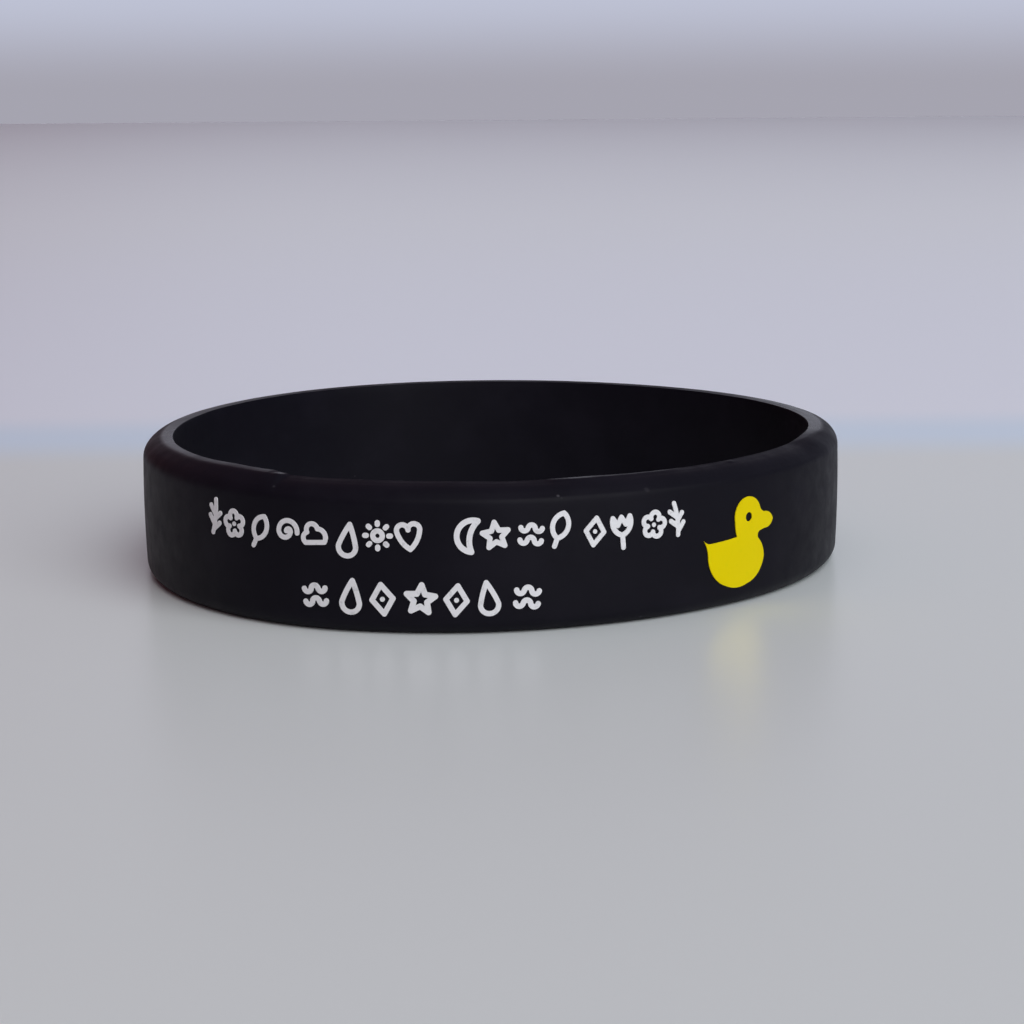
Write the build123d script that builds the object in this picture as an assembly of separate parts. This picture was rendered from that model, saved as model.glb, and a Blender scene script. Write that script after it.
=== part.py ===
from build123d import *
from collections import namedtuple
import math
import os

# A soft rubber wristband with a printed front, lying on its lower edge. Lengths are millimetres.
# +Z runs up through the opening for the hand, the print faces -Y, and the origin is the middle of
# the lower edge's box, on the surface that the band rests on.

# Band
loop_length = 202.0        # once round, along the middle of the wall
band_height = 12.7         # from the lower edge to the upper edge
wall = 2.9                 # at mid height, where it is thickest
face_crown = 0.15          # how far the outer face stands out past its own edges
top_round = 1.8            # outer shoulder of the upper edge
bottom_round = 1.35        # outer shoulder of the lower edge
inner_round = 0.3          # both inner corners
least_land = 0.4           # flat that stays between two rounds of one edge

# How far the soft loop has settled out of round, as shares of its mean radius
oval_share = 0.024         # two long sides
lobe_share = 0.022         # three full sides
arc_count = 12             # tangent arcs that the loop is made of

# Print
ink_thickness = 0.08
ink_gap = 0.03             # between a film of ink and the band under it
pen_width = 0.42           # of the white lines
clear_low = 0.35           # print to the lower shoulder
clear_high = 0.5           # print to the upper shoulder
upper_row_start = -23.9    # along the outer face from the middle of the front, right is plus
lower_row_start = -13.0
duck_clear = 1.33          # end of the upper row to the tip of the duck's tail

front = math.radians(-90)
arc_turn = 2 * math.pi / arc_count
mean_radius = loop_length / (2 * math.pi)

Arc = namedtuple("Arc", "start radius centre")


def towards(direction):
    return Vector(math.cos(direction), math.sin(direction), 0)


def swell(waves, share, phase):
    """Change of the bend radius for an outline that stands out by a share of it, averaged over one arc."""
    half = waves * arc_turn / 2
    return (waves * waves - 1) * share * phase * math.sin(half) / half


def bend_radius(direction):
    """Radius of the middle of the wall along the arc that faces a direction."""
    oval = swell(2, oval_share, math.sin(2 * direction))
    lobes = swell(3, lobe_share, math.cos(3 * direction))
    return mean_radius * (1 - oval - lobes)


def loop_arcs():
    """Arcs of equal turn, each starting where the last one ends, the first one facing the front."""
    arcs = []
    joint = Vector(0, 0, 0)
    for index in range(arc_count):
        facing = front + index * arc_turn
        start = facing - arc_turn / 2
        radius = bend_radius(facing)
        centre = joint - towards(start) * radius
        joint = centre + towards(start + arc_turn) * radius
        arcs.append(Arc(start, radius, centre))
    return arcs


def middle_line(arcs, direction):
    """Point on the middle of the wall where it faces a direction."""
    arc = arcs[round((direction - front) / arc_turn) % arc_count]
    return arc.centre + towards(direction) * arc.radius


def centred(arcs):
    """The same arcs with the middle of their box on the origin."""
    right, back, left, front_point = (middle_line(arcs, math.radians(turn)) for turn in (0, 90, 180, 270))
    middle = Vector((right.X + left.X) / 2, (back.Y + front_point.Y) / 2, 0)
    return [Arc(arc.start, arc.radius, arc.centre - middle) for arc in arcs]


arcs = centred(loop_arcs())


def around(section, used_arcs):
    """Turns a section, drawn with x out from the middle of the wall and y up, round each arc."""
    spans = []
    for arc in used_arcs:
        out = towards(arc.start)
        plane = Plane(arc.centre + out * arc.radius, x_dir=out, z_dir=out.cross(Vector(0, 0, 1)))
        spans.append(revolve(plane * section, Axis(arc.centre, (0, 0, 1)), math.degrees(arc_turn)))
    return Part() + spans


def face_line(stand_off):
    """The crowned outer face in section, moved out by a stand-off."""
    edge = wall / 2 - face_crown + stand_off
    return ThreePointArc((edge, 0), (wall / 2 + stand_off, band_height / 2), (edge, band_height))


def rounded(section, corner, radius):
    vertex = section.vertices().sort_by_distance(corner)[0]
    return fillet(vertex, radius)


# Band
def band():
    outer = face_line(0)
    inner = -wall / 2
    rest = Polyline(outer @ 1, (inner, band_height), (inner, 0), outer @ 0)
    room = wall - face_crown - inner_round - least_land
    section = make_face([outer, rest])
    section = rounded(section, outer @ 1, min(top_round, room))
    section = rounded(section, outer @ 0, min(bottom_round, room))
    section = rounded(section, (inner, band_height), inner_round)
    section = rounded(section, (inner, 0), inner_round)
    return around(section, arcs)


# Print: where it lies on the outer face
print_low = bottom_round + clear_low
print_height = band_height - top_round - clear_high - print_low
row_height = 0.32 * print_height
upper_row_rise = print_low + 0.645 * print_height
upper_row_gap = 0.6 * row_height       # extra room in the middle of the row
upper_pitch = 0.99 * row_height
lower_pitch = 1.07 * row_height


def wall_spot(run):
    """Arc and direction of the outer face at a distance along it from the middle of the front."""
    index = 0
    along = run + arc_turn * (arcs[0].radius + wall / 2) / 2
    while along < 0:
        index -= 1
        along += arc_turn * (arcs[index % arc_count].radius + wall / 2)
    while along > arc_turn * (arcs[index % arc_count].radius + wall / 2):
        along -= arc_turn * (arcs[index % arc_count].radius + wall / 2)
        index += 1
    arc = arcs[index % arc_count]
    return arc, arc.start + along / (arc.radius + wall / 2)


def ink_skin():
    """The thin space on the front of the band that the films of ink lie in."""
    under = face_line(ink_gap)
    over = face_line(ink_gap + ink_thickness)
    ends = [Line(under @ 1, over @ 1), Line(over @ 0, under @ 0)]
    half = arc_count // 2 - 1
    return around(make_face([under, over] + ends), arcs[-half:] + arcs[: half + 1])


skin = ink_skin()


def printed(figure, run, rise):
    """A flat figure laid on the outer face as a film, its own origin at a run and a rise."""
    arc, direction = wall_spot(run)
    out = towards(direction)
    spot = arc.centre + out * (arc.radius + wall / 2) + Vector(0, 0, rise)
    plane = Plane(spot, x_dir=Vector(0, 0, 1).cross(out), z_dir=out)
    block = extrude(plane * figure, amount=wall, both=True)
    return block & skin


# White ornaments. The line of each is drawn one unit high on a base line, centred on x = 0.
pen_share = pen_width / row_height
flat_middle = 0.4                  # height of the middle of the round ornaments


def pen_line(*edges):
    """A line of even width with round ends."""
    return [SlotArc(Wire(list(edges)), pen_share)]


def pen_outline(*edges):
    """A closed line of even width."""
    figure = make_face(list(edges))
    return [offset(figure, pen_share / 2) - offset(figure, -pen_share / 2)]


def dot(x, y, radius):
    return Pos(x, y) * Circle(radius)


def ring(x, y, radius):
    return dot(x, y, radius + pen_share / 2) - dot(x, y, radius - pen_share / 2)


def both_sides(*edges):
    """Edges of a left half, from the top down, and their mirror images."""
    return list(edges) + [mirror(edge, Plane.YZ) for edge in edges]


def polar(reach, turn):
    """Point at a reach and a turn in degrees from the middle of a round ornament."""
    angle = math.radians(turn)
    return reach * math.cos(angle), flat_middle + reach * math.sin(angle)


def spiral():
    ends = (-0.03, 0.12, -0.3, 0.35)
    edges = []
    for start, end in zip(ends, ends[1:]):
        top = ((start + end) / 2, flat_middle + (end - start) / 2)
        edges.append(ThreePointArc((start, flat_middle), top, (end, flat_middle)))
    return pen_line(*edges)


def waves():
    lines = []
    step = 0.21
    for level in (0.2, 0.56):
        edges = []
        for index in range(3):
            x = (index - 1.5) * step
            bulge = 0.09 if index % 2 else -0.09
            edges.append(ThreePointArc((x, level), (x + step / 2, level + bulge), (x + step, level)))
        lines += pen_line(*edges)
    return lines


def drop():
    side = ThreePointArc((0, 0.94), (-0.15, 0.62), (-0.26, 0.3))
    foot = ThreePointArc((-0.26, 0.3), (-0.18, 0.08), (0, 0.01))
    return pen_outline(*both_sides(side, foot))


def star():
    points = [polar(0.18 if index % 2 else 0.39, 90 + 36 * index) for index in range(10)]
    return pen_outline(*Polyline(*points, close=True).edges())


def heart():
    top = ThreePointArc((0, 0.6), (-0.17, 0.77), (-0.34, 0.56))
    side = ThreePointArc((-0.34, 0.56), (-0.24, 0.29), (0, 0.02))
    return pen_outline(*both_sides(top, side))


def leaf():
    tip, root = (0.2, 0.94), (-0.12, 0.24)
    blade = [ThreePointArc(tip, (-0.18, 0.7), root), ThreePointArc(root, (0.25, 0.48), tip)]
    return pen_outline(*blade) + pen_line(Line(root, (-0.24, 0.02)))


def flower():
    edges = []
    for index in range(5):
        turn = 90 + 72 * index
        edges.append(ThreePointArc(polar(0.22, turn - 36), polar(0.39, turn), polar(0.22, turn + 36)))
    return pen_outline(*edges) + [dot(0, flat_middle, 0.07)]


def moon():
    top, foot = (0.2, 0.84), (0.2, 0.0)
    return pen_outline(ThreePointArc(top, (-0.27, 0.42), foot), ThreePointArc(foot, (0.07, 0.42), top))


def cloud():
    left, valley, shoulder, right = (-0.32, 0.08), (-0.24, 0.4), (0.12, 0.5), (0.32, 0.08)
    return pen_outline(
        ThreePointArc(left, (-0.38, 0.26), valley),
        ThreePointArc(valley, (-0.1, 0.66), shoulder),
        ThreePointArc(shoulder, (0.36, 0.32), right),
        Line(right, left),
    )


def sun():
    figures = [ring(0, flat_middle, 0.14)]
    for index in range(8):
        figures += pen_line(Line(polar(0.33, 45 * index), polar(0.38, 45 * index)))
    return figures


def sprig():
    figures = pen_line(ThreePointArc((-0.04, 0.0), (0.02, 0.5), (-0.02, 1.0)))
    for side, foot in ((1, 0.12), (-1, 0.26), (1, 0.42), (-1, 0.56)):
        figures += pen_line(Line((0.0, foot), (side * 0.22, foot + 0.22)))
    return figures


def diamond():
    reach = [0.3 if index % 2 else 0.42 for index in range(4)]
    corners = [polar(reach[index], 90 + 90 * index) for index in range(4)]
    return pen_outline(*Polyline(*corners, close=True).edges()) + [dot(0, flat_middle, 0.07)]


def tulip():
    left, right, foot = (-0.27, 0.88), (0.27, 0.88), (0, 0.36)
    brim = Polyline(left, (-0.13, 0.66), (0, 0.88), (0.13, 0.66), right)
    cup = [ThreePointArc(right, (0.21, 0.5), foot), ThreePointArc(foot, (-0.21, 0.5), left)]
    return pen_outline(*brim.edges(), *cup) + pen_line(Line(foot, (0, 0)))


# Rows of ornaments: size and lift off the base line in shares of the row's height, turn in degrees
Mark = namedtuple("Mark", "draw size lift turn")
upper_row = [
    Mark(sprig, 1.05, 0.04, -8),
    Mark(flower, 1.02, 0.02, 6),
    Mark(leaf, 1.0, -0.16, 0),
    Mark(spiral, 1.0, 0.02, -6),
    Mark(cloud, 0.98, 0.06, 4),
    Mark(drop, 1.04, -0.22, -8),
    Mark(sun, 1.04, 0.02, 0),
    Mark(heart, 1.02, 0.02, 6),
    Mark(moon, 1.14, 0.0, -12),
    Mark(star, 1.04, 0.02, 6),
    Mark(waves, 1.04, 0.04, -5),
    Mark(leaf, 1.02, 0.04, 8),
    Mark(diamond, 0.98, 0.0, -8),
    Mark(tulip, 1.06, -0.18, 4),
    Mark(flower, 1.0, 0.02, -10),
    Mark(sprig, 1.0, 0.02, 10),
]
lower_row = [
    Mark(waves, 1.1, 0.12, 5),
    Mark(drop, 1.06, 0.06, -6),
    Mark(diamond, 1.08, 0.08, 6),
    Mark(star, 1.16, 0.06, -5),
    Mark(diamond, 1.06, 0.08, -6),
    Mark(drop, 1.04, 0.06, 8),
    Mark(waves, 1.1, 0.12, -5),
]
row_middle = len(upper_row) // 2
upper_row_end = upper_row_start + len(upper_row) * upper_pitch + upper_row_gap


def row(name, marks, start, pitch, rise, gap_after):
    nodes = {}
    for index, mark in enumerate(marks):
        run = start + (index + 0.5) * pitch
        if gap_after is not None and index >= gap_after:
            run += upper_row_gap
        figure = Sketch() + mark.draw()
        figure = Rot(0, 0, mark.turn) * scale(figure, mark.size * row_height)
        nodes[f"{name}_{index + 1:02d}"] = printed(figure, run, rise + mark.lift * row_height)
    return nodes


# Duck: its height, and its outline as arcs from the tip of the tail, in shares of that height
duck_height = 0.914 * print_height
duck_tail = (-0.572, 0.591)
duck_middle = upper_row_end + duck_clear - duck_tail[0] * duck_height
DuckArc = namedtuple("DuckArc", "via_x via_y end_x end_y")
duck_outline = [
    DuckArc(-0.522, 0.556, -0.459, 0.547),     # tail
    DuckArc(-0.258, 0.556, -0.076, 0.572),     # back
    DuckArc(-0.101, 0.654, -0.107, 0.736),     # back of the neck
    DuckArc(0.082, 1.0, 0.308, 0.849),         # head
    DuckArc(0.338, 0.816, 0.390, 0.797),       # brow
    DuckArc(0.487, 0.765, 0.538, 0.698),       # top of the beak
    DuckArc(0.496, 0.639, 0.396, 0.611),       # foot of the beak
    DuckArc(0.346, 0.604, 0.302, 0.595),       # under the beak
    DuckArc(0.267, 0.560, 0.281, 0.507),       # throat
    DuckArc(0.357, 0.404, 0.381, 0.296),       # breast
    DuckArc(0.301, 0.130, 0.107, 0.025),       # front of the belly
    DuckArc(-0.057, 0.001, -0.233, 0.044),     # belly
    DuckArc(-0.419, 0.172, -0.507, 0.371),     # rump
    DuckArc(-0.519, 0.472, -0.572, 0.591),     # under the tail
]
duck_eye = (0.111, 0.773)
duck_eye_radius = 0.052


def duck():
    edges = []
    start = duck_tail
    for arc in duck_outline:
        end = (arc.end_x, arc.end_y)
        edges.append(ThreePointArc(start, (arc.via_x, arc.via_y), end))
        start = end
    figure = make_face(edges) - Pos(*duck_eye) * Circle(duck_eye_radius)
    return printed(scale(figure, duck_height), duck_middle, print_low)


nodes = {"band": band(), "printed_duck": duck()}
nodes.update(row("ornament", upper_row, upper_row_start, upper_pitch, upper_row_rise, row_middle))
nodes.update(row("small_mark", lower_row, lower_row_start, lower_pitch, print_low, None))

os.makedirs("parts", exist_ok=True)
for name, solid in nodes.items():
    export_step(solid, f"parts/{name}.step")
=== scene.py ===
import math

import bpy
from mathutils import Matrix, Vector


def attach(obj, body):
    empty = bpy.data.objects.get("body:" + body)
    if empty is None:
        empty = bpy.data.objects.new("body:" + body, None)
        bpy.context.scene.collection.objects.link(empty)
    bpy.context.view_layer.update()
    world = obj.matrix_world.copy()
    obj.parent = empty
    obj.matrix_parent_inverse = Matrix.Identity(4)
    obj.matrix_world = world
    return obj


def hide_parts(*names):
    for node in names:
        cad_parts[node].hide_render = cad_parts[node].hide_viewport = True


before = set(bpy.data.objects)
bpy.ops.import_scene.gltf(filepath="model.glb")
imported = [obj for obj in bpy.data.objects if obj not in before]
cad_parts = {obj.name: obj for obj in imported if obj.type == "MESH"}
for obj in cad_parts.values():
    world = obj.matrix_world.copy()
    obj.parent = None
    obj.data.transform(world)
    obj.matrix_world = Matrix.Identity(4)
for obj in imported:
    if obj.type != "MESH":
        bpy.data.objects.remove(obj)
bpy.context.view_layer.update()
print("frame loaded")

millimetre = 0.001


# Camera: a long lens low over the table, a hand's length in front of the band.
cameraView = {
    "sensor": 36.0,            # mm
    "lens": 75.13,             # mm
    "lookDown": 11.194,        # degrees
    "roll": 0.4536,            # degrees
    "distance": 211.19,        # mm from the origin, along the view
    "sideways": 1.734,         # mm
    "upwards": 3.812,          # mm
    "nearest": 10.0,           # mm, nothing closer is drawn
    "farthestPaintedLight": 20000.0,       # mm, nor anything past this
}


def addCamera(values):
    down = math.radians(values["lookDown"])
    roll = math.radians(values["roll"])
    right = Vector((1, 0, 0))
    up = Vector((0, math.sin(down), math.cos(down)))
    back = right.cross(up)
    place = right * values["sideways"] + up * values["upwards"] + back * values["distance"]
    rolledRight = right * math.cos(roll) - up * math.sin(roll)
    rolledUp = right * math.sin(roll) + up * math.cos(roll)
    cameraData = bpy.data.cameras.new("photoCamera")
    cameraData.sensor_width = values["sensor"]
    cameraData.lens = values["lens"]
    cameraData.clip_start = values["nearest"] * millimetre
    cameraData.clip_end = values["farthestPaintedLight"] * millimetre
    camera = bpy.data.objects.new("photoCamera", cameraData)
    bpy.context.scene.collection.objects.link(camera)
    turn = Matrix((rolledRight, rolledUp, back)).transposed()
    camera.matrix_world = Matrix.Translation(place * millimetre) @ turn.to_4x4()
    bpy.context.scene.camera = camera


addCamera(cameraView)
print("camera placed")


# Nodes for the materials
def newMaterial(name):
    material = bpy.data.materials.new(name)
    material.use_nodes = True
    tree = material.node_tree
    tree.nodes.clear()
    output = tree.nodes.new("ShaderNodeOutputMaterial")
    shader = tree.nodes.new("ShaderNodeBsdfPrincipled")
    tree.links.new(shader.outputs["BSDF"], output.inputs["Surface"])
    return material, tree, shader


def addNode(tree, kind, settings=None, inputs=None):
    node = tree.nodes.new(kind)
    for name, value in (settings or {}).items():
        setattr(node, name, value)
    for name, value in (inputs or {}).items():
        if isinstance(value, bpy.types.NodeSocket):
            tree.links.new(value, node.inputs[name])
        else:
            node.inputs[name].default_value = value
    return node


def objectPlace(tree):
    return addNode(tree, "ShaderNodeTexCoord").outputs["Object"]


# Soft noise whose patches are about this size, in mm
def noise(tree, place, size, detail=2.0, rough=0.5):
    texture = addNode(tree, "ShaderNodeTexNoise", None, {
        "Vector": place,
        "Scale": 1 / (size * millimetre),
        "Detail": detail,
        "Roughness": rough,
    })
    return texture.outputs["Fac"]


def spread(tree, value, fromLow, fromHigh, toLow, toHigh, shape="LINEAR"):
    node = addNode(tree, "ShaderNodeMapRange", {"interpolation_type": shape}, {
        "Value": value, "From Min": fromLow, "From Max": fromHigh, "To Min": toLow, "To Max": toHigh,
    })
    return node.outputs["Result"]


def arithmetic(tree, operation, first, second):
    node = addNode(tree, "ShaderNodeMath", {"operation": operation})
    for socket, value in zip(node.inputs, (first, second)):
        if isinstance(value, bpy.types.NodeSocket):
            tree.links.new(value, socket)
        else:
            socket.default_value = value
    return node.outputs["Value"]


def blendColours(tree, share, first, second):
    node = addNode(tree, "ShaderNodeMix", {"data_type": "RGBA"})
    node.clamp_factor = True
    for index, value in ((0, share), (6, first), (7, second)):
        if isinstance(value, bpy.types.NodeSocket):
            tree.links.new(value, node.inputs[index])
        else:
            node.inputs[index].default_value = value
    return node.outputs[2]


def bump(tree, height, depth, strength=1.0, normal=None):
    inputs = {"Height": height, "Distance": depth * millimetre, "Strength": strength}
    if normal:
        inputs["Normal"] = normal
    return addNode(tree, "ShaderNodeBump", None, inputs).outputs["Normal"]


# Band: the closed rubber loop. Its outline is twelve tangent arcs of equal turn.
bandShape = {
    "length": 202.0,           # mm once round, along the middle of the wall
    "height": 12.7,
    "wall": 2.9,
    "crown": 0.15,             # how far the face stands out past its edges
    "shoulder": 1.8,           # round of the upper edge
    "foot": 1.35,              # round of the lower edge
    "innerEdge": 0.06,         # round of the upper inner edge, trimmed sharp
    "innerFoot": 0.3,
    "landTilt": 3.0,           # degrees that the flat on top leans outwards
    "oval": 0.024,
    "lobe": 0.022,
    "arcs": 12,
    "arcSteps": 60,            # faces along one arc
    "sectionSteps": {          # faces along each part of the section, from the inner edge round
        "innerEdge": 5, "land": 15, "shoulder": 14, "face": 20,
        "foot": 10, "sole": 4, "innerFoot": 4, "innerWall": 14,
    },
    "mergeSection": 0.001,     # mm, points closer than this become one
    "mergeLoop": 0.002,
}
bandFront = math.radians(-90)
arcTurn = 2 * math.pi / bandShape["arcs"]
turnSlack = 1e-5               # radians, so that the first points of an arc count as its own


def towards(direction):
    return Vector((math.cos(direction), math.sin(direction), 0))


def swell(waves, share, phase):
    half = waves * arcTurn / 2
    return (waves * waves - 1) * share * phase * math.sin(half) / half


# Start, radius and centre of each arc in mm, with the middle of the loop's box on the origin
def loopArcs(shape):
    arcs = []
    joint = Vector((0, 0, 0))
    middles = []
    for index in range(shape["arcs"]):
        facing = bandFront + index * arcTurn
        oval = swell(2, shape["oval"], math.sin(2 * facing))
        lobes = swell(3, shape["lobe"], math.cos(3 * facing))
        radius = shape["length"] / (2 * math.pi) * (1 - oval - lobes)
        start = facing - arcTurn / 2
        centre = joint - towards(start) * radius
        joint = centre + towards(start + arcTurn) * radius
        arcs.append((start, radius, centre))
        middles.append(centre + towards(facing) * radius)
    quarter = shape["arcs"] // 4
    shift = Vector((
        (middles[quarter].x + middles[3 * quarter].x) / 2,
        (middles[0].y + middles[2 * quarter].y) / 2,
        0,
    ))
    return [(start, radius, centre - shift) for start, radius, centre in arcs]


bandArcs = loopArcs(bandShape)


# Where a point lies on the band, in mm: its run along the outer wall from the middle of the front,
# right as plus, its distance out from the middle of the wall, and its height
def wallPlace(point):
    run = -arcTurn / 2 * (bandArcs[0][1] + bandShape["wall"] / 2)
    for start, radius, centre in bandArcs:
        offset = Vector((point.x - centre.x, point.y - centre.y, 0))
        turn = (math.atan2(offset.y, offset.x) - start + turnSlack) % (2 * math.pi)
        if turn < arcTurn and abs(offset.length - radius) < bandShape["wall"]:
            run += turn * (radius + bandShape["wall"] / 2)
            break
        run += arcTurn * (radius + bandShape["wall"] / 2)
    half = bandShape["length"] / 2 + math.pi * bandShape["wall"] / 2
    if run > half:
        run -= 2 * half
    return run, offset.length - radius, point.z


# The other way round: the point at a run, a distance out and a height
def wallPoint(run, out, height):
    left = run + arcTurn / 2 * (bandArcs[0][1] + bandShape["wall"] / 2)
    for start, radius, centre in bandArcs:
        arcLength = arcTurn * (radius + bandShape["wall"] / 2)
        if left < arcLength:
            break
        left -= arcLength
    direction = towards(start + left / arcLength * arcTurn)
    return (centre + direction * (radius + out) + Vector((0, 0, height))) * millimetre


def deselectAll():
    bpy.ops.object.select_all(action="DESELECT")


# The section, clockwise from the top of the inner wall. A turn has its centre, out and up, its degrees
# and its steps, and a run has its end, out and up, and its steps.
def sectionTurns(shape):
    steps = shape["sectionSteps"]
    inner = -shape["wall"] / 2
    height = shape["height"]
    edge = shape["innerEdge"]
    tilt = shape["landTilt"]
    crownRadius = ((height / 2) ** 2 + shape["crown"] ** 2) / (2 * shape["crown"])
    crownOut = shape["wall"] / 2 - crownRadius

    def roundAt(radius, side):
        up = height / 2 - radius
        out = crownOut + math.sqrt((crownRadius - radius) ** 2 - up ** 2)
        lean = math.degrees(math.atan2(up, out - crownOut))
        return out, height / 2 + side * up, lean

    topOut, topUp, topLean = roundAt(shape["shoulder"], 1)
    footOut, footUp, footLean = roundAt(shape["foot"], -1)
    return [
        ("turn", inner + edge, height - edge, 90 + tilt, steps["innerEdge"]),
        ("run", (topOut + shape["shoulder"] * math.sin(math.radians(tilt)),
                 topUp + shape["shoulder"] * math.cos(math.radians(tilt))), steps["land"]),
        ("turn", topOut, topUp, 90 - tilt - topLean, steps["shoulder"]),
        ("turn", crownOut, height / 2, topLean + footLean, steps["face"]),
        ("turn", footOut, footUp, 90 - footLean, steps["foot"]),
        ("run", (inner + shape["innerFoot"], 0), steps["sole"]),
        ("turn", inner + shape["innerFoot"], shape["innerFoot"], 90, steps["innerFoot"]),
        ("run", (inner, height - edge), steps["innerWall"]),
    ]


# The section is drawn by spinning one point round the centre of each of its rounds, and the loop by
# spinning the section round the centre of each arc
def makeBand(shape):
    start, radius, centre = bandArcs[0]
    out = towards(start)
    up = Vector((0, 0, 1))

    def sectionPoint(acrossWall, height):
        return (centre + out * (radius + acrossWall) + up * height) * millimetre

    here = sectionPoint(-shape["wall"] / 2, shape["height"] - shape["innerEdge"])
    deselectAll()
    bpy.ops.mesh.primitive_plane_add(size=millimetre, location=here)
    band = bpy.context.object
    band.name = "bandRubber"
    bpy.ops.object.transform_apply(location=True, rotation=True, scale=True)
    bpy.ops.object.mode_set(mode="EDIT")
    bpy.ops.mesh.select_all(action="SELECT")
    bpy.ops.mesh.merge(type="CENTER")
    for kind, *values in sectionTurns(shape):
        if kind == "turn":
            roundOut, roundUp, degrees, steps = values
            pivot = sectionPoint(roundOut, roundUp)
            bpy.ops.mesh.spin(steps=steps, angle=math.radians(degrees), center=pivot, axis=out.cross(up))
            here = pivot + Matrix.Rotation(-math.radians(degrees), 3, out.cross(up)) @ (here - pivot)
        else:
            goal, steps = values
            step = (sectionPoint(*goal) - here) / steps
            for _ in range(steps):
                bpy.ops.mesh.extrude_region_move(TRANSFORM_OT_translate={"value": step})
            here = sectionPoint(*goal)
    bpy.ops.mesh.select_all(action="SELECT")
    bpy.ops.mesh.remove_doubles(threshold=shape["mergeSection"] * millimetre)
    for _, _, arcCentre in bandArcs:
        bpy.ops.mesh.spin(
            steps=shape["arcSteps"], angle=-arcTurn, center=arcCentre * millimetre, axis=(0, 0, 1),
            use_auto_merge=False,
        )
    bpy.ops.mesh.select_all(action="SELECT")
    bpy.ops.mesh.remove_doubles(threshold=shape["mergeLoop"] * millimetre)
    bpy.ops.mesh.normals_make_consistent(inside=False)
    bpy.ops.object.mode_set(mode="OBJECT")
    bpy.ops.object.shade_smooth()
    return band


band = makeBand(bandShape)
print("band spun:", len(band.data.vertices), "points")


# Rim: what the trimming knife and wear did to the top. Lengths are mm, runs go along the face from the
# middle of the front, right as plus, and a pair of heights is where a form starts and is whole.
rimShape = {
    "stations": [              # run, roll, raise, smoothness of the cut, its width from the inner edge
        (-95, 0.00, 0.00, 0.0, 1.0), (-60, 0.05, 0.04, 0.5, 1.0), (-45, 0.08, 0.10, 0.75, 0.9),
        (-33, 0.05, 0.21, 0.68, 0.78), (-29, 0.05, 0.22, 0.40, 0.84), (-22.5, 0.05, 0.33, 0.41, 0.88),
        (-17.6, 0.05, 0.29, 0.42, 0.95), (-17.0, 0.08, 0.17, 0.68, 0.95),
        (-16.2, 0.16, 0.12, 0.75, 0.90),
        (-15.7, 0.30, 0.00, 0.0, 0.0), (8.6, 0.30, 0.00, 0.0, 0.0),
        (9.8, 0.28, 0.04, 0.14, 0.55), (11.0, 0.27, 0.05, 0.28, 0.65), (11.5, 0.27, 0.05, 0.52, 0.75),
        (13.0, 0.27, 0.05, 0.48, 0.75), (13.5, 0.27, 0.05, 0.28, 0.65), (16, 0.26, 0.03, 0.12, 0.50),
        (20, 0.26, 0.02, 0.06, 0.40),
        (25, 0.30, 0.00, 0.0, 0.0), (40, 0.30, 0.00, 0.0, 0.0), (45, 0.14, 0.00, 0.25, 0.8),
        (50, 0.04, 0.00, 0.75, 1.1), (60, 0.00, 0.00, 0.85, 1.1), (95, 0.00, 0.00, 0.0, 1.0),
    ],
    "rollDeepest": 0.30,
    "rollHeights": (11.17, 12.25),
    "raiseHighest": 0.40,
    "raiseHeights": (11.6, 12.5),
    "raiseLean": 0.2,          # share of the raise that is gone 1 mm from the inner edge
    "raiseReach": 2.2,         # how far it runs out, in widths of the cut
    "raiseMargin": 0.1,
    "sunk": [(-2, 0.0), (7.5, 0.16), (12, 0.15), (18, 0.20), (40, 0.18), (46, 0.0)],    # run, depth
    "sunkDeepest": 0.20,
    "sunkHeights": (10.9, 12.6),
    "nibs": [(-16.7, -0.62, 0.50, 0.05), (28.9, -1.0, 0.40, 0.07)],    # run, out, reach, rise
    "nibRise": 0.07,
    "nibFlat": 0.3,            # share of a nib's reach that is at its full rise
    "unevenDepth": 0.05,
    "unevenSize": 5.0,
    "unevenAcross": (0.1, 0.7),        # from the inner wall, whole to gone
    "unevenHeights": (11.9, 12.6),
    "trimEdge": 0.05,          # how softly the smooth cut starts at the inner edge
    "trimFade": 0.5,           # and how softly it ends
    "topFrom": 12.0,           # height
}
stationColumns = ("run", "roll", "raise", "smooth", "width")
leastWeight = 0.001


def smoothStep(value, low, high):
    share = min(1, max(0, (value - low) / (high - low)))
    return share * share * (3 - 2 * share)


# Where each point of the band lies before the rim is shaped
rimPlaces = [wallPlace(vertex.co / millimetre) for vertex in band.data.vertices]


# A vertex group whose weights come from where each point lies
def weigh(piece, name, weight):
    group = piece.vertex_groups.new(name=name)
    for index, place in enumerate(rimPlaces):
        value = weight(*place)
        if value > leastWeight:
            group.add([index], min(1, value), "REPLACE")


# Moves the points of a vertex group up, or down where the depth is negative
def displace(piece, name, depth, texture=None):
    modifier = piece.modifiers.new(name, "DISPLACE")
    modifier.direction = "Z"
    modifier.vertex_group = name
    modifier.strength = depth * millimetre
    modifier.mid_level = 0
    if texture:
        modifier.texture = texture
        modifier.texture_coords = "LOCAL"
    deselectAll()
    piece.select_set(True)
    bpy.context.view_layer.objects.active = piece
    bpy.ops.object.modifier_apply(modifier=modifier.name)


# What the stations say at a run along the face
def rimAt(run, name):
    column = stationColumns.index(name)
    stations = rimShape["stations"]
    if run <= stations[0][0] or run >= stations[-1][0]:
        return 0
    for before, after in zip(stations, stations[1:]):
        if run <= after[0]:
            share = smoothStep(run, before[0], after[0])
            return before[column] + share * (after[column] - before[column])
    return 0


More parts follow.
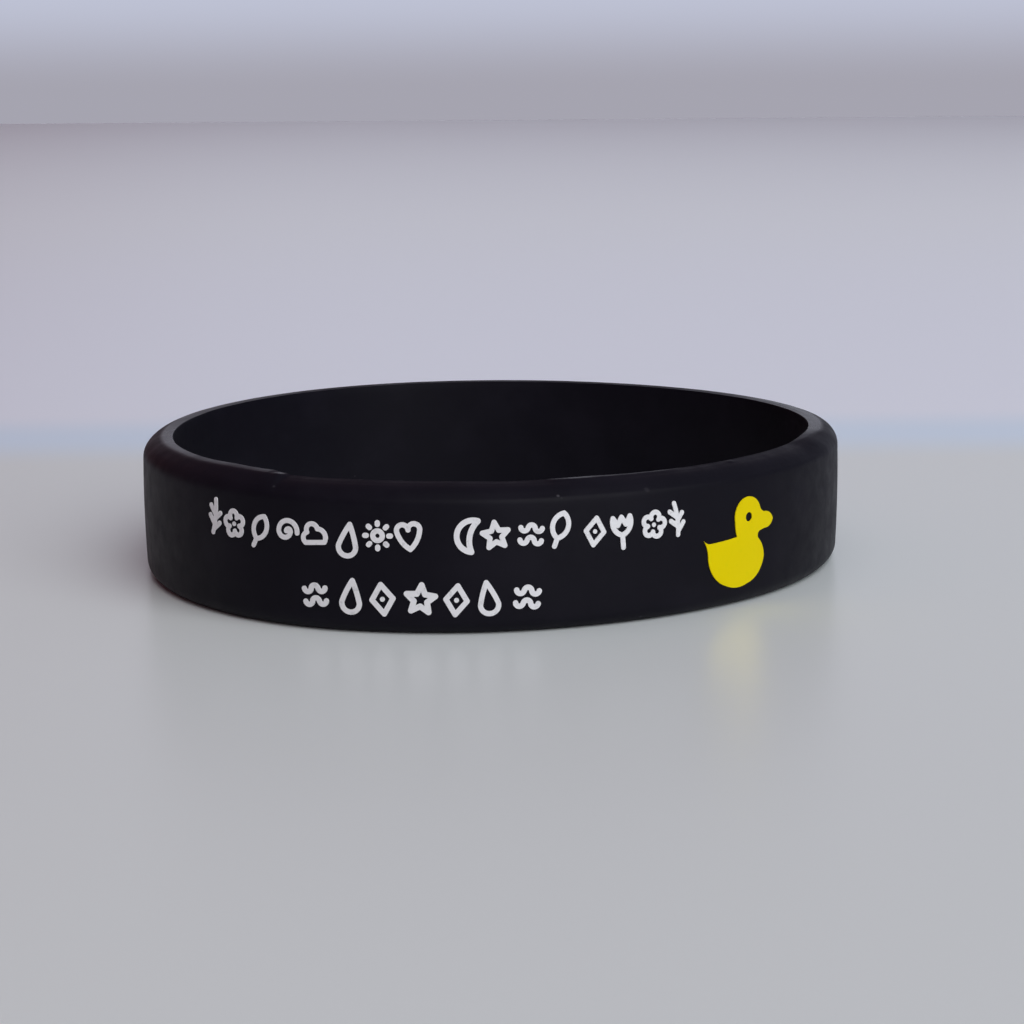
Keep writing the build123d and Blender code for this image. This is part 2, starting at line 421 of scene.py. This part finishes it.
# Where the whole top has worn lower
def sunkRim(run, out, height):
    for (before, depth), (after, nextDepth) in zip(rimShape["sunk"], rimShape["sunk"][1:]):
        if before <= run <= after:
            worn = depth + smoothStep(run, before, after) * (nextDepth - depth)
            return worn / rimShape["sunkDeepest"] * smoothStep(height, *rimShape["sunkHeights"])
    return 0


# An even slope from the edge of the cut to the end of the flat, easing off over the next millimetre
def rolledRim(run, out, height):
    flatEnd = bandShape["wall"] / 2 - bandShape["crown"] - bandShape["shoulder"]
    cutEnd = -bandShape["wall"] / 2 + rimAt(run, "width")
    ease = min(1, max(0, out - flatEnd))
    fallen = max(0, min(flatEnd, out) - cutEnd) + ease - ease * ease / 2
    wholeFall = max(0, flatEnd - cutEnd) + 1 / 2        # with ease at 1
    share = rimAt(run, "roll") / rimShape["rollDeepest"]
    return share * smoothStep(height, *rimShape["rollHeights"]) * fallen / wholeFall


# What the knife left on: flat over the cut, then down to the rolled part
def raisedRim(run, out, height):
    fromInner = out + bandShape["wall"] / 2
    width = rimAt(run, "width")
    reach = rimShape["raiseReach"] * width + rimShape["raiseMargin"]
    across = 1 - rimShape["raiseLean"] * smoothStep(fromInner, 0, 1)
    across *= 1 - smoothStep(fromInner, width, reach)
    share = rimAt(run, "raise") / rimShape["raiseHighest"]
    return share * across * smoothStep(height, *rimShape["raiseHeights"])


# Torn bits that stand up
def nibRim(run, out, height):
    weight = 0
    for nibRun, nibOut, reach, rise in rimShape["nibs"]:
        away = math.hypot(run - nibRun, out - nibOut)
        share = 1 - smoothStep(away, rimShape["nibFlat"] * reach, reach)
        weight = max(weight, rise / rimShape["nibRise"] * share)
    return weight * (height > rimShape["topFrom"])


# The inner edge, where the cut wavers
def unevenRim(run, out, height):
    inner = 1 - smoothStep(out + bandShape["wall"] / 2, *rimShape["unevenAcross"])
    return inner * smoothStep(height, *rimShape["unevenHeights"])


unevenTexture = bpy.data.textures.new("unevenCut", "CLOUDS")
unevenTexture.noise_scale = rimShape["unevenSize"] * millimetre
weigh(band, "sunk", sunkRim)
displace(band, "sunk", -rimShape["sunkDeepest"])
weigh(band, "rolled", rolledRim)
displace(band, "rolled", -rimShape["rollDeepest"])
weigh(band, "raised", raisedRim)
displace(band, "raised", rimShape["raiseHighest"])
weigh(band, "nib", nibRim)
displace(band, "nib", rimShape["nibRise"])
weigh(band, "uneven", unevenRim)
displace(band, "uneven", -rimShape["unevenDepth"], unevenTexture)


# How much of the smooth cut left by the trimming knife shows at each point
def paintTrim(piece):
    trim = piece.data.attributes.new("trim", "FLOAT", "POINT")
    edge = rimShape["trimEdge"]
    for index, (run, out, height) in enumerate(rimPlaces):
        fromInner = out + bandShape["wall"] / 2
        width = rimAt(run, "width")
        across = smoothStep(fromInner, -edge, edge)
        across *= 1 - smoothStep(fromInner, width, width + rimShape["trimFade"])
        trim.data[index].value = rimAt(run, "smooth") * across * (height > rimShape["topFrom"])


paintTrim(band)
print("rim finished")


# Black silicone: matt, finely grained, with handling marks and a few specks of dust
siliconeLook = {
    "colour": (0.0056, 0.0050, 0.0088, 1),
    "worn": (0.0074, 0.0066, 0.0112, 1),
    "wornFrom": (0.42, 0.68),  # of the patches' noise, from plain to worn
    "patchSize": 7.0,          # mm
    "roughLow": 0.42,
    "roughHigh": 0.54,
    "trimRough": 0.20,
    "ior": 1.41,
    "shine": 0.12,
    "grainSize": 0.16,         # mm
    "grainDepth": 0.004,
    "smudgeSize": 1.75,
    "smudgeFrom": (0.3, 0.7),  # of their noise, from smooth to rough
    "smudgeDepth": 0.03,
    "smudgeStrength": 0.25,
    "dust": (0.16, 0.15, 0.17, 1),
    "fleckCell": 2.6,          # mm, the room around each chance fleck
    "fleckReach": (0.018, 0.034),      # in cells, from full to nothing
    "fleckPick": (0.94, 0.99), # which cells have one
    "fleckPale": 0.25,
    "speckCore": 0.4,          # share of a speck's radius that is full
    "specks": [                # run, out, height and radius in mm, and how pale
        (-15.84, 0.63, 12.11, 0.22, 0.14), (9.24, 1.14, 11.61, 0.20, 0.28),
        (9.5, 1.25, 11.40, 0.14, 0.05), (17.41, 1.21, 11.54, 0.34, 0.07),
        (16.92, 1.04, 0.48, 0.16, 0.14), (28.64, -0.38, 12.48, 0.20, 0.12),
        (-16.91, 1.37, 1.87, 0.14, 0.05),
    ],
}


def siliconeMaterial(values):
    material, tree, shader = newMaterial("blackSilicone")
    place = objectPlace(tree)
    patches = noise(tree, place, values["patchSize"], detail=3)
    smudges = noise(tree, place, values["smudgeSize"], detail=4, rough=0.6)
    grain = noise(tree, place, values["grainSize"], detail=3, rough=0.6)
    wear = spread(tree, patches, *values["wornFrom"], 0, 1, "SMOOTHSTEP")
    colour = blendColours(tree, wear, values["colour"], values["worn"])
    fleck = addNode(tree, "ShaderNodeTexVoronoi", {"feature": "F1"}, {
        "Vector": place, "Scale": 1 / (values["fleckCell"] * millimetre), "Randomness": 1.0,
    })
    near = spread(tree, fleck.outputs["Distance"], *values["fleckReach"], 1, 0)
    pick = addNode(tree, "ShaderNodeSeparateColor", None, {"Color": fleck.outputs["Color"]})
    chosen = spread(tree, pick.outputs["Red"], *values["fleckPick"], 0, values["fleckPale"])
    dust = arithmetic(tree, "MULTIPLY", near, chosen)
    for run, out, height, radius, pale in values["specks"]:
        middle = wallPoint(run, out, height)
        edge = radius * millimetre
        away = addNode(tree, "ShaderNodeVectorMath", {"operation": "DISTANCE"}, {0: place, 1: middle})
        core = values["speckCore"] * edge
        speck = spread(tree, away.outputs["Value"], core, edge, pale, 0, "SMOOTHSTEP")
        dust = arithmetic(tree, "MAXIMUM", dust, speck)
    colour = blendColours(tree, dust, colour, values["dust"])
    tree.links.new(colour, shader.inputs["Base Color"])
    roughness = spread(tree, smudges, *values["smudgeFrom"], values["roughLow"], values["roughHigh"])
    trim = addNode(tree, "ShaderNodeAttribute", {"attribute_name": "trim"}).outputs["Fac"]
    kept = arithmetic(tree, "MULTIPLY", roughness, arithmetic(tree, "SUBTRACT", 1.0, trim))
    cut = arithmetic(tree, "MULTIPLY", trim, values["trimRough"])
    tree.links.new(arithmetic(tree, "ADD", kept, cut), shader.inputs["Roughness"])
    shader.inputs["IOR"].default_value = values["ior"]
    shader.inputs["Specular IOR Level"].default_value = values["shine"]
    fine = bump(tree, grain, values["grainDepth"])
    relief = bump(tree, smudges, values["smudgeDepth"], values["smudgeStrength"], fine)
    tree.links.new(relief, shader.inputs["Normal"])
    return material


band.data.materials.append(siliconeMaterial(siliconeLook))
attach(band, "root")
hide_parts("band")
print("band dressed")


# Print: films of ink on the front of the band
inkLook = {
    "white": (0.77, 0.77, 0.79, 1),
    "whiteThin": (0.62, 0.62, 0.64, 1),
    "yellow": (0.76, 0.605, 0.0005, 1),
    "yellowThin": (0.735, 0.60, 0.002, 1),
    "whiteGloss": (1, 1, 1, 1),
    "yellowGloss": (1.0, 0.9, 0.15, 1),
    "roughLow": 0.44,
    "roughHigh": 0.58,
    "ior": 1.45,
    "shine": 0.15,
    "mottleSize": 0.5,         # mm
    "thinFrom": (0.52, 0.72),  # of the mottle's noise, from full to thin
    "roughFrom": (0.3, 0.7),   # and from smooth to rough
    "weaveSize": 0.09,
    "weaveDepth": 0.006,
}


def inkMaterial(tone, values):
    material, tree, shader = newMaterial(tone + "Ink")
    place = objectPlace(tree)
    mottle = noise(tree, place, values["mottleSize"], detail=4, rough=0.6)
    weave = noise(tree, place, values["weaveSize"])
    share = spread(tree, mottle, *values["thinFrom"], 0, 1, "SMOOTHSTEP")
    colour = blendColours(tree, share, values[tone], values[tone + "Thin"])
    tree.links.new(colour, shader.inputs["Base Color"])
    roughness = spread(tree, mottle, *values["roughFrom"], values["roughLow"], values["roughHigh"])
    tree.links.new(roughness, shader.inputs["Roughness"])
    shader.inputs["IOR"].default_value = values["ior"]
    shader.inputs["Specular IOR Level"].default_value = values["shine"]
    shader.inputs["Specular Tint"].default_value = values[tone + "Gloss"]
    tree.links.new(bump(tree, weave, values["weaveDepth"]), shader.inputs["Normal"])
    return material


whiteInk = inkMaterial("white", inkLook)
yellowInk = inkMaterial("yellow", inkLook)
for name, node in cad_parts.items():
    if name == "band":
        continue
    node.data.materials.clear()
    node.data.materials.append(yellowInk if name == "printed_duck" else whiteInk)
print("ink dressed")


# Stage and light
stageLook = {
    "table": (0.745, 0.785, 0.79, 1),
    "edgeTone": (0.69, 0.82, 0.98, 1),
    "far": (0.845, 0.88, 0.99, 1),
    # painted light: the table turns paler far back, standing in for lamp light that falls off with
    # distance
    "farthestPaintedLight": (0.90, 0.94, 1.0, 1),
    "edge": 72.0,              # mm behind the origin where the table gives way to the far ground
    "edgeBlur": 22.0,
    "paintedLightFrom": 120.0,
    "paintedLightTo": 600.0,
    "size": 6000.0,
    "rough": 0.31,
    "shine": 0.46,
}


def addTable(values):
    deselectAll()
    bpy.ops.mesh.primitive_plane_add(size=values["size"] * millimetre, location=(0, 0, 0))
    table = bpy.context.object
    table.name = "table"
    material, tree, shader = newMaterial("tableTop")
    split = addNode(tree, "ShaderNodeSeparateXYZ", None, {"Vector": objectPlace(tree)})

    def fade(colour, nextColour, start, end):
        near, far = start * millimetre, end * millimetre
        share = spread(tree, split.outputs["Y"], near, far, 0, 1, "SMOOTHSTEP")
        return blendColours(tree, share, colour, nextColour)

    edge, blur = values["edge"], values["edgeBlur"]
    colour = fade(values["table"], values["edgeTone"], edge - blur, edge)
    colour = fade(colour, values["far"], edge, edge + blur)
    # painted light: paler with distance, to make up for the lamps' light falling off far from the band
    colour = fade(colour, values["farthestPaintedLight"], values["paintedLightFrom"], values["paintedLightTo"])
    tree.links.new(colour, shader.inputs["Base Color"])
    shader.inputs["Roughness"].default_value = values["rough"]
    shader.inputs["Specular IOR Level"].default_value = values["shine"]
    table.data.materials.append(material)


addTable(stageLook)

# The room's colours, and where they change: a pair is the part of a direction along one axis
roomLight = {
    "seen": (0.515, 0.54, 0.66, 1),    # by the camera alone
    "seenLow": (0.378, 0.371, 0.432, 1),
    "behind": (0.70, 0.72, 0.83, 1),
    "behindLeft": (0.20, 0.07, 0.09, 1),
    "left": (0.145, 0.062, 0.076, 1),
    "right": (0.18, 0.19, 0.24, 1),
    "behindFrom": (0.68, 0.97),
    "behindTop": (0.12, 0.36),
    "behindLeftEnd": (-0.55, -0.05),
    "leftToRight": (-0.6, 0.6),
    "seenRise": (0, 0.045),
}


# A bright wall low behind the band, dim at its left end, and a dim room that is warmer on the left
def addRoom(values):
    world = bpy.data.worlds.new("room")
    bpy.context.scene.world = world
    world.use_nodes = True
    tree = world.node_tree
    direction = addNode(tree, "ShaderNodeTexCoord").outputs["Generated"]
    split = addNode(tree, "ShaderNodeSeparateXYZ", None, {"Vector": direction})
    behind = spread(tree, split.outputs["Y"], *values["behindFrom"], 0, 1, "SMOOTHSTEP")
    low = spread(tree, split.outputs["Z"], *values["behindTop"], 1, 0, "SMOOTHSTEP")
    right = spread(tree, split.outputs["X"], *values["leftToRight"], 0, 1, "SMOOTHSTEP")
    room = blendColours(tree, right, values["left"], values["right"])
    leftEnd = spread(tree, split.outputs["X"], *values["behindLeftEnd"], 1, 0, "SMOOTHSTEP")
    wall = blendColours(tree, leftEnd, values["behind"], values["behindLeft"])
    lighting = blendColours(tree, arithmetic(tree, "MULTIPLY", behind, low), room, wall)
    lift = spread(tree, split.outputs["Z"], *values["seenRise"], 0, 1, "SMOOTHSTEP")
    seen = blendColours(tree, lift, values["seenLow"], values["seen"])
    ray = addNode(tree, "ShaderNodeLightPath").outputs["Is Camera Ray"]
    colour = blendColours(tree, ray, lighting, seen)
    tree.links.new(colour, tree.nodes["Background"].inputs["Color"])


# Degrees, mm and watts. Azimuth 0 is over the camera and 90 is on the right.
lamps = {
    "keyLamp": {
        "azimuth": 36, "height": 36, "away": 2400, "width": 2600, "tall": 3800, "power": 56.0,
        "colour": (0.98, 1.0, 1.0), "mirrored": True,
    },
    "fillLamp": {
        "azimuth": -20, "height": 80, "away": 6000, "width": 6000, "tall": 6000, "power": 50.0,
        "colour": (0.94, 1.0, 1.0), "mirrored": False,
    },
}


# An elliptical soft box
def addLamp(name, values):
    azimuth = math.radians(values["azimuth"])
    height = math.radians(values["height"])
    level = math.cos(height)
    aim = Vector((-math.sin(azimuth) * level, math.cos(azimuth) * level, -math.sin(height)))
    data = bpy.data.lights.new(name, "AREA")
    data.shape = "ELLIPSE"
    data.size = values["width"] * millimetre
    data.size_y = values["tall"] * millimetre
    data.energy = values["power"]
    data.color = values["colour"]
    lamp = bpy.data.objects.new(name, data)
    lamp.visible_glossy = values["mirrored"]
    bpy.context.scene.collection.objects.link(lamp)
    lamp.location = aim * -values["away"] * millimetre
    lamp.rotation_euler = aim.to_track_quat("-Z", "Y").to_euler()


addRoom(roomLight)
for name, values in lamps.items():
    addLamp(name, values)
bpy.context.scene.view_settings.view_transform = "Standard"
print("stage and lights set")
